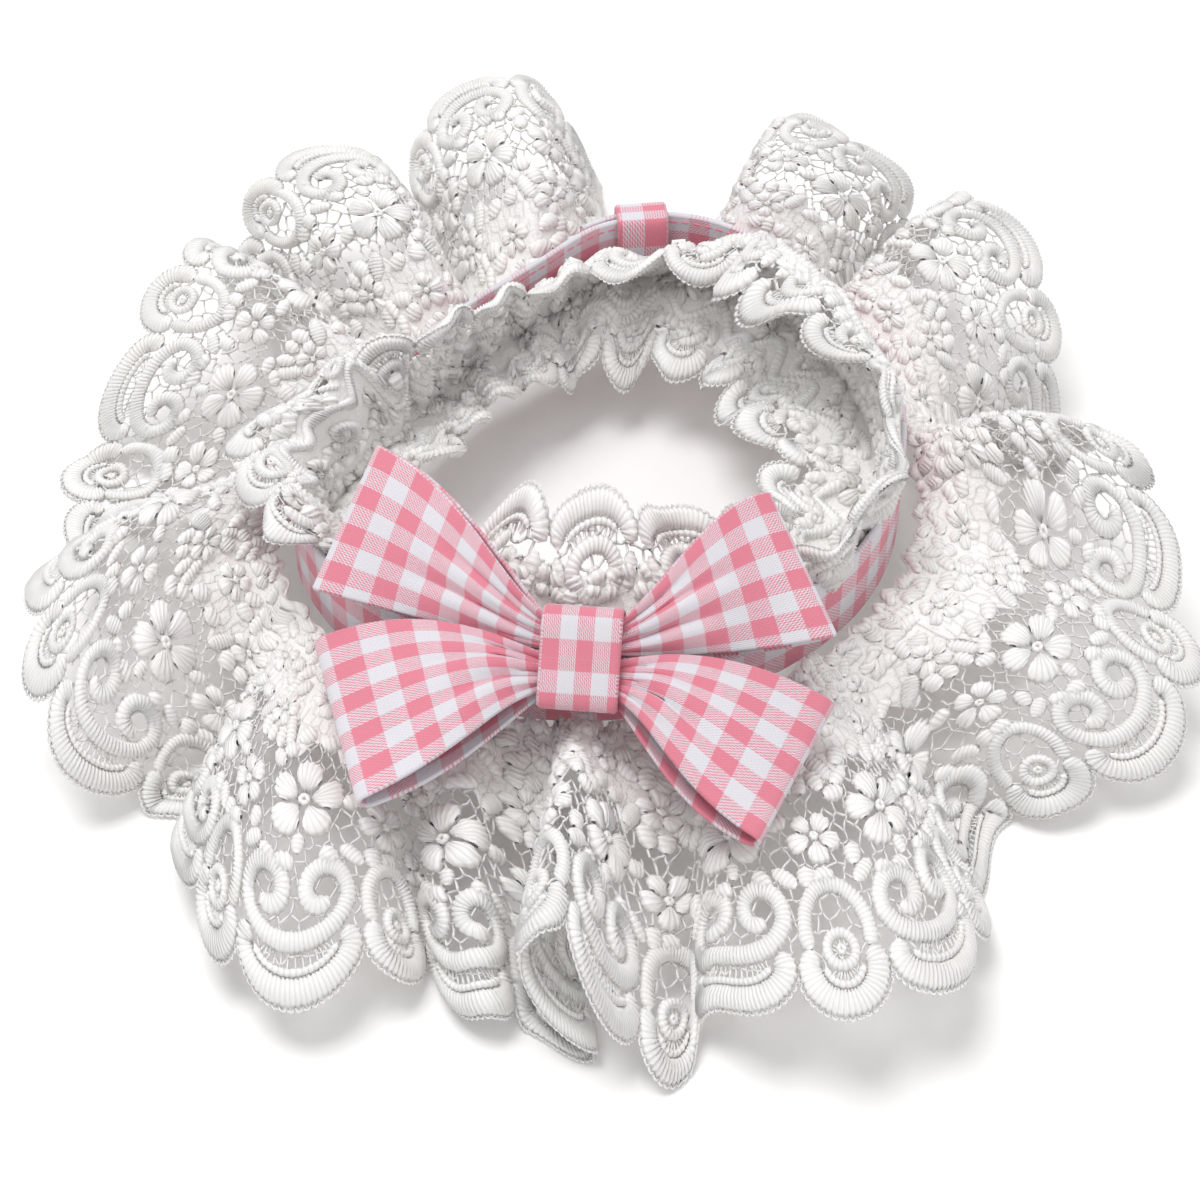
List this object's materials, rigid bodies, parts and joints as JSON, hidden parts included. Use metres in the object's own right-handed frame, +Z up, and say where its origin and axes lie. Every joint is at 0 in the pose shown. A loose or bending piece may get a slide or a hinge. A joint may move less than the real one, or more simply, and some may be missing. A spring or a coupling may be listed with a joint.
{
  "type": "lace ruffle collar",
  "caption": "White lace ruffle collar lying open on a surface, with a gingham neck band, a keeper at the back and a gingham bow in front.",
  "frame": {"origin": "on the surface the collar lies on, under the middle of its bounding box", "axes": "+X to the right as seen from the bow, +Y from the bow to the fastening at the back, +Z up"},
  "size_m": [0.2288, 0.245, 0.056],
  "materials": {
    "lace": "matte white cotton lace",
    "gingham": "woven pink and white check"
  },
  "bodies": {
    "root": {"flounce_left": "lace", "flounce_right": "lace", "neck_frill": "lace", "neck_band": "gingham", "band_keeper": "gingham", "bow_loop_upper_left": "gingham", "bow_loop_upper_right": "gingham", "bow_loop_lower_left": "gingham", "bow_loop_lower_right": "gingham", "bow_knot": "gingham"}
  },
  "joints": []
}
